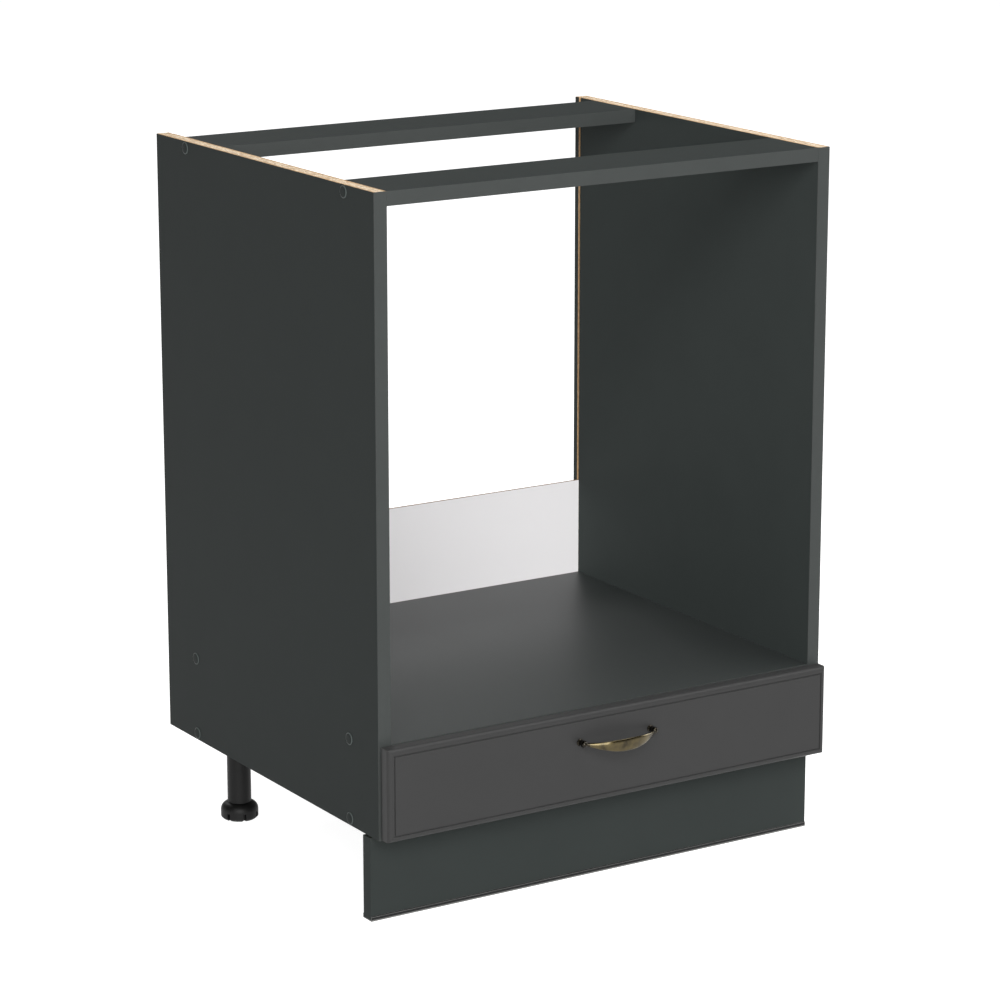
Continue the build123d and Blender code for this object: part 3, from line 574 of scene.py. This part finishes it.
# Sheen and roughness of the facing, by what it faces
OUTSIDE_GLOSS = (0.06, 0.55)
INSIDE_GLOSS = (0.02, 0.42)
SHELF_GLOSS = (0.62, 0.44)

# Painted light: the sides' inner faces are drawn this much lighter than outside, in place of the light and
# reflection that their shade takes away
INSIDE_PAINTED_LIGHT = 1.6


def faces_front(normal, centre):
    """Whether a face is a board's front, and not the wall of a groove behind."""
    return normal.y < -ALONG and centre.y < 0.0


def side_rule(normal, centre):
    """Faces of a side panel: facing outside and in front, inner facing painted lighter, raw chipboard
    elsewhere.
    """
    sideways = abs(normal.x) > ALONG
    if sideways and at_level(abs(centre.x), SIDE_INNER_MM):
        return 2
    outside = sideways and at_level(abs(centre.x), SIDE_OUTER_MM)
    return 0 if outside or faces_front(normal, centre) else 1


def cross_rule(normal, centre):
    """Faces of a board between the sides: raw chipboard behind and at the ends, facing elsewhere."""
    return 0 if abs(normal.z) > ALONG or faces_front(normal, centre) else 1


def rail_rule(normal, centre):
    """As the other boards, with the rear rail's front edge banded."""
    return 2 if normal.y < -ALONG else cross_rule(normal, centre)


# The bands touch, so those on the left side, between the sides and on the right side stay apart
BAND_PARTS = (lambda place: place.x < -SIDE_INNER_MM,
              lambda place: abs(place.x) < SIDE_INNER_MM,
              lambda place: place.x > SIDE_INNER_MM)


class OVENUNIT_OT_boards(bpy.types.Operator):
    """Side panels, rails, shelf and floor, faced and with raw edges where the real ones are"""
    bl_idname = "oven_unit.boards"
    bl_label = "Boards"

    def execute(self, context):
        settings = context.scene.oven_unit.boards
        colour = tuple(settings.facing)
        facing = faced_board("Melamine facing, graphite, outside", colour, *OUTSIDE_GLOSS)
        # The inner facing is the same decor, painted lighter in place of light that the sides' shade takes
        # away
        inner = faced_board("Melamine facing, graphite, inside", shade(colour, INSIDE_PAINTED_LIGHT),
                            *INSIDE_GLOSS)
        level = faced_board("Melamine facing, graphite, shelf", colour, *SHELF_GLOSS)
        band = edge_banding("ABS banding, graphite, extruded", tuple(settings.banding))
        sawn = chipboard("Chipboard, sawn, sides", "X", middle_mm("left_side_panel", "X"))
        softness = settings.softness / MM
        for side in ("left", "right"):
            dress(side + "_side_panel", (facing, sawn, inner), softness, side_rule)
        for board in ("oven_shelf", "bottom_panel"):
            sawn = chipboard("Chipboard, sawn, " + board, "Z", middle_mm(board, "Z"))
            dress(board, (level, sawn), softness, cross_rule)
        sawn = chipboard("Chipboard, sawn, rails", "Z", middle_mm("front_top_rail", "Z"))
        dress("front_top_rail", (facing, sawn), softness, cross_rule)
        dress("rear_top_rail", (facing, sawn, band), softness, rail_rule)
        dress("edge_bands", (band,), softness, apart=BAND_PARTS)
        return {"FINISHED"}


# Roughness of zinc plating, and the rounding of screws and other small turned or pressed pieces
ZINC_ROUGHNESS = 0.35
SCREW_EDGE_MM = 0.12


def strip_rule(normal, centre):
    """White on the back strip's front, raw elsewhere."""
    return 1 if normal.y < -ALONG else 0


class OVENUNIT_OT_back(bpy.types.Operator):
    """Back strip, lacquered white in front and raw behind, with its screws"""
    bl_idname = "oven_unit.back"
    bl_label = "Back strip"

    def execute(self, context):
        settings = context.scene.oven_unit
        white = white_facing("Lacquer on fibreboard, white, rolled", tuple(settings.boards.lacquer))
        raw = hardboard("Fibreboard, raw, pressed")
        zinc = plated_steel("Zinc plated steel, cold headed", tuple(settings.hardware.zinc),
                            ZINC_ROUGHNESS)
        dress("back_strip", (raw, white), edge_mm=0.2, rule=strip_rule)
        dress("back_screws", (zinc,), SCREW_EDGE_MM)
        return {"FINISHED"}


# Painted highlight: a cap's rim is drawn this much lighter than its face, so that its shoulder shows a
# bright crescent
CAP_RIM_PAINTED_HIGHLIGHT = 3.4

# A cap's flat face looks out sideways above this share of its normal
CAP_FACE_ALONG = 0.95


def cap_rule(normal, centre):
    """A cap's face is matt; its rim is a little polished and painted lighter, as a painted highlight."""
    return 1 if abs(normal.x) > CAP_FACE_ALONG else 0


class OVENUNIT_OT_joints(bpy.types.Operator):
    """Connecting screws, dowels and cover caps of the boards' joints"""
    bl_idname = "oven_unit.joints"
    bl_label = "Board joints"

    def execute(self, context):
        settings = context.scene.oven_unit.hardware
        zinc = plated_steel("Zinc plated steel, turned", tuple(settings.zinc), ZINC_ROUGHNESS)
        face = moulded_plastic("Polyethylene cap, matt face", tuple(settings.cap),
                               roughness=0.5, sheen=0.05)
        # The rim is the cap's own plastic, painted lighter as a highlight on the shoulder
        rim = moulded_plastic("Polyethylene cap, polished rim", shade(settings.cap, CAP_RIM_PAINTED_HIGHLIGHT),
                              roughness=0.3, sheen=0.1)
        dress("connecting_screws", (zinc,), SCREW_EDGE_MM)
        dress("dowels", (turned_beech("Beech, turned"),), edge_mm=0.15)
        # The wide angle smooths a cap's shoulder, which then takes the light on one side
        dress("cover_caps", (rim, face), edge_mm=0.2, rule=cap_rule, degrees=80.0)
        return {"FINISHED"}


# Flap and handle

FLAP_INNER_MM = reach("flap_board", "Y")[1] / MM

# The handle is rubbed in front of this level, and this near to its middle
HANDLE_BASE_MM = -249.2
GRIP_HALF_MM = 43.6

# Tone of the hollows in the handle's bases, as a share of the patina's
HOLLOW_TONE = 0.3


def flap_rule(normal, centre):
    """White on the flap's inner face, foil everywhere else."""
    return 1 if normal.y > ALONG and at_level(centre.y, FLAP_INNER_MM) else 0


def base_rule(normal, centre):
    """The handle's bases, necks and ball ends stay dark; the grip between them is rubbed."""
    return 1 if centre.y > HANDLE_BASE_MM or abs(centre.x) > GRIP_HALF_MM else 0


class OVENUNIT_OT_flap(bpy.types.Operator):
    """Flap board, foiled in front and white inside"""
    bl_idname = "oven_unit.flap"
    bl_label = "Flap"

    def execute(self, context):
        settings = context.scene.oven_unit.flap
        foil = foiled_front("Foil on fibreboard, graphite, drawn", tuple(settings.foil))
        white = white_facing("Foil on fibreboard, white, flat", tuple(settings.inside))
        dress("flap_board", (foil, white), edge_mm=0.3, rule=flap_rule)
        return {"FINISHED"}


class OVENUNIT_OT_handle(bpy.types.Operator):
    """Bow handle in aged brass, with its screws"""
    bl_idname = "oven_unit.handle"
    bl_label = "Handle"

    def execute(self, context):
        settings = context.scene.oven_unit
        patina = tuple(settings.flap.patina)
        brass = aged_brass("Brass, cast and antiqued", tuple(settings.flap.brass), patina)
        base = aged_brass("Brass, cast, left dark", patina, shade(patina, HOLLOW_TONE))
        browned = plated_steel("Steel, browned", tuple(settings.hardware.dark_plating),
                               roughness=0.4)
        dress("handle", (brass, base), edge_mm=0.25, rule=base_rule)
        dress("handle_screws", (browned,), edge_mm=0.15)
        return {"FINISHED"}


# Hinges

CUP_X_MM = middle_mm("left_hinge_cup", "X")
CUP_Z_MM = middle_mm("left_hinge_cup", "Z")

# Radius of the round cup, beyond which only its flange lies
CUP_REACH_MM = 17.4

# A sawn edge's normal has less than this share across the flap
SAWN_ALONG = 0.5


def cup_rule(normal, centre):
    """Bare bright metal on the sawn edges round a cup's flange, dark plating elsewhere."""
    beyond = math.hypot(abs(centre.x) - CUP_X_MM, centre.z - CUP_Z_MM) > CUP_REACH_MM
    return 1 if beyond and abs(normal.y) < SAWN_ALONG and centre.y > FLAP_INNER_MM else 0


class OVENUNIT_OT_hinges(bpy.types.Operator):
    """Cup hinges: cups, links, pins, arms, mounting plates and their screws"""
    bl_idname = "oven_unit.hinges"
    bl_label = "Cup hinges"

    def execute(self, context):
        settings = context.scene.oven_unit.hardware
        dark = plated_steel("Dark nickel on steel, pressed", tuple(settings.dark_plating),
                            roughness=0.3)
        grey = plated_steel("Dark nickel on steel, links", tuple(settings.link_plating),
                            roughness=0.34)
        plate = plated_steel("Nickel on steel, plates", tuple(settings.plate_plating),
                             roughness=0.34)
        bright = plated_steel("Nickel on steel, pins and screws", tuple(settings.bright_plating),
                              roughness=0.22)
        for side in ("left", "right"):
            dress(side + "_hinge_cup", (dark, plate), edge_mm=0.15, rule=cup_rule)
            dress(side + "_hinge_arm", (dark,), edge_mm=0.2)
            dress(side + "_mounting_plate", (plate,), edge_mm=0.2)
            dress(side + "_hinge_link", (grey,), SCREW_EDGE_MM)
            dress(side + "_cup_pin", (bright,), edge_mm=0.08)
        for screws in ("arm_pins", "arm_screws", "mounting_plate_screws"):
            dress(screws, (bright,), SCREW_EDGE_MM)
        dress("cup_screws", (dark,), SCREW_EDGE_MM)
        return {"FINISHED"}


# Legs and plinth

# Roughness and sheen of black polypropylene
BLACK_GLOSS = (0.5, 0.22)

# Painted light: the plinth's facing is drawn this much lighter than the carcass's, in place of light on it
# in the shade under the flap
PLINTH_PAINTED_LIGHT = 1.2

# Height of the seal's soft lower lip
LIP_TOP_MM = 1.7


class OVENUNIT_OT_legs(bpy.types.Operator):
    """Adjustable legs: sockets, tubes, feet and screws"""
    bl_idname = "oven_unit.legs"
    bl_label = "Legs"

    def execute(self, context):
        settings = context.scene.oven_unit.hardware
        plastic = moulded_plastic("Polypropylene, black, moulded", tuple(settings.plastic),
                                  *BLACK_GLOSS)
        zinc = plated_steel("Zinc plated steel, leg screws", tuple(settings.zinc), ZINC_ROUGHNESS)
        for node_name in ("leg_sockets", "leg_tubes"):
            dress(node_name, (plastic,), edge_mm=0.35)
        for end in ("front", "rear"):
            for side in ("left", "right"):
                dress(f"{end}_{side}_foot", (plastic,), edge_mm=0.5)
        dress("leg_screws", (zinc,), SCREW_EDGE_MM)
        return {"FINISHED"}


def seal_rule(normal, centre):
    """The seal is dark above its clear soft lip, which stands on the floor."""
    return 1 if centre.z > LIP_TOP_MM else 0


class OVENUNIT_OT_plinth(bpy.types.Operator):
    """Plinth board with its seal, clips and screws"""
    bl_idname = "oven_unit.plinth"
    bl_label = "Plinth"

    def execute(self, context):
        settings = context.scene.oven_unit
        # The plinth is the carcass's decor, painted lighter in place of light that its shade under the flap
        # takes away
        facing = faced_board("Melamine facing, graphite, plinth",
                             shade(settings.boards.facing, PLINTH_PAINTED_LIGHT), *OUTSIDE_GLOSS)
        plastic = moulded_plastic("Polypropylene, black, clips", tuple(settings.hardware.plastic),
                                  *BLACK_GLOSS)
        seal = soft_seal("Soft PVC, black, extruded", tuple(settings.hardware.seal))
        lip = soft_seal("Soft PVC, clear lip, extruded", tuple(settings.hardware.lip))
        zinc = plated_steel("Zinc plated steel, clip screws", tuple(settings.hardware.zinc),
                            ZINC_ROUGHNESS)
        dress("plinth_board", (facing,), settings.boards.softness / MM)
        dress("plinth_seal", (lip, seal), edge_mm=0.2, rule=seal_rule, split_mm=LIP_TOP_MM)
        dress("plinth_clips", (plastic,), edge_mm=0.4)
        dress("clip_screws", (zinc,), SCREW_EDGE_MM)
        return {"FINISHED"}


# Stage

# Metres, apart from the names that end in MM
CAMERA_PLACE = (-2.193, -3.471, 1.438)
CAMERA_AIM = (0.0, 0.0, 0.398)
SENSOR_WIDTH_MM = 36.0
FLOOR_SIZE = 60.0
WALL_HEIGHT = 9.0
WALL_SIDES = 96

# The floor lies this much lower than the soles, so that the two don't coincide
FLOOR_DROP_MM = 0.2

# Name, place and width of each light, whose power is the setting of that name
LIGHTS = (("key", (-2.5, -5.1, 2.6), 4.6), ("rear", (0.3, 6.5, 5.4), 3.0),
          ("side", (6.0, -0.6, 2.2), 2.6), ("top", (1.3, -0.9, 3.4), 2.6))
LIGHT_AIM = (0.0, 0.0, 0.4)


def aim(thing, target):
    """Turn a camera or light so that it looks at a point."""
    thing.rotation_euler = (Vector(target) - thing.location).to_track_quat("-Z", "Y").to_euler()


def soft_light(name, place, width, power):
    """One square soft box, which looks at the unit."""
    lamp = bpy.data.lights.new(name, "AREA")
    lamp.shape = "SQUARE"
    lamp.size = width
    lamp.energy = power
    box = place_object(name, lamp)
    box.location = place
    aim(box, LIGHT_AIM)


class OVENUNIT_OT_stage(bpy.types.Operator):
    """Pale floor and wall, soft lights and the camera"""
    bl_idname = "oven_unit.stage"
    bl_label = "Stage"

    def execute(self, context):
        settings = context.scene.oven_unit.studio
        self.room(context, settings)
        self.surround(context.scene, settings)
        for name, place, width in LIGHTS:
            soft_light(name + "_light", place, width, getattr(settings, name))
        self.camera(context.scene, settings)
        context.scene.view_settings.view_transform = "Standard"
        return {"FINISHED"}

    def room(self, context, settings):
        """Floor and round wall of white paper."""
        bpy.ops.object.select_all(action="DESELECT")
        bpy.ops.mesh.primitive_plane_add(size=FLOOR_SIZE, location=(0.0, 0.0, -FLOOR_DROP_MM * MM))
        floor = context.active_object
        floor.name = "stage_floor"
        bpy.ops.mesh.primitive_cylinder_add(vertices=WALL_SIDES, radius=FLOOR_SIZE / 2,
                                            depth=WALL_HEIGHT, end_fill_type="NOTHING",
                                            location=(0.0, 0.0, 0.0))
        wall = context.active_object
        wall.name = "stage_wall"
        paper = studio_white("Paper, white, matt", tuple(settings.paper), settings.floor_glow)
        for piece in (floor, wall):
            piece.data.materials.append(paper)

    def surround(self, scene, settings):
        """Even light from all round."""
        world = bpy.data.worlds.new("Studio surround")
        scene.world = world
        world.use_nodes = True
        back = world.node_tree.nodes["Background"]
        back.inputs["Color"].default_value = WHITE
        back.inputs["Strength"].default_value = settings.surround

    def camera(self, scene, settings):
        """The camera, in the place that was fitted to the photograph's straight edges."""
        lens = bpy.data.cameras.new("camera")
        lens.lens = settings.lens
        lens.sensor_width = SENSOR_WIDTH_MM
        camera = place_object("camera", lens)
        camera.location = CAMERA_PLACE
        aim(camera, CAMERA_AIM)
        scene.camera = camera


class OVENUNIT_PT_panel(bpy.types.Panel):
    """Lists the unit's pieces and their settings"""
    bl_idname = "OVENUNIT_PT_panel"
    bl_label = "Oven Housing Unit"
    bl_space_type = "VIEW_3D"
    bl_region_type = "UI"
    bl_category = "Oven Unit"

    def draw(self, context):
        for operator in OPERATORS:
            self.layout.operator(operator.bl_idname)
        settings = context.scene.oven_unit
        for group in (settings.boards, settings.flap, settings.hardware, settings.studio):
            box = self.layout.box()
            for name in group.__annotations__:
                box.prop(group, name)


OPERATORS = (OVENUNIT_OT_boards, OVENUNIT_OT_back, OVENUNIT_OT_joints, OVENUNIT_OT_flap,
             OVENUNIT_OT_handle, OVENUNIT_OT_hinges, OVENUNIT_OT_legs, OVENUNIT_OT_plinth,
             OVENUNIT_OT_stage)
CLASSES = (BoardSettings, FlapSettings, HardwareSettings, StudioSettings,
           OvenUnitSettings) + OPERATORS + (OVENUNIT_PT_panel,)


def register():
    for item in CLASSES:
        bpy.utils.register_class(item)
    bpy.types.Scene.oven_unit = bpy.props.PointerProperty(type=OvenUnitSettings)


def unregister():
    del bpy.types.Scene.oven_unit
    for item in reversed(CLASSES):
        bpy.utils.unregister_class(item)


def main():
    """Build the whole unit."""
    register()
    for operator in OPERATORS:
        group, name = operator.bl_idname.split(".")
        getattr(getattr(bpy.ops, group), name)()


if __name__ == "__main__":
    main()
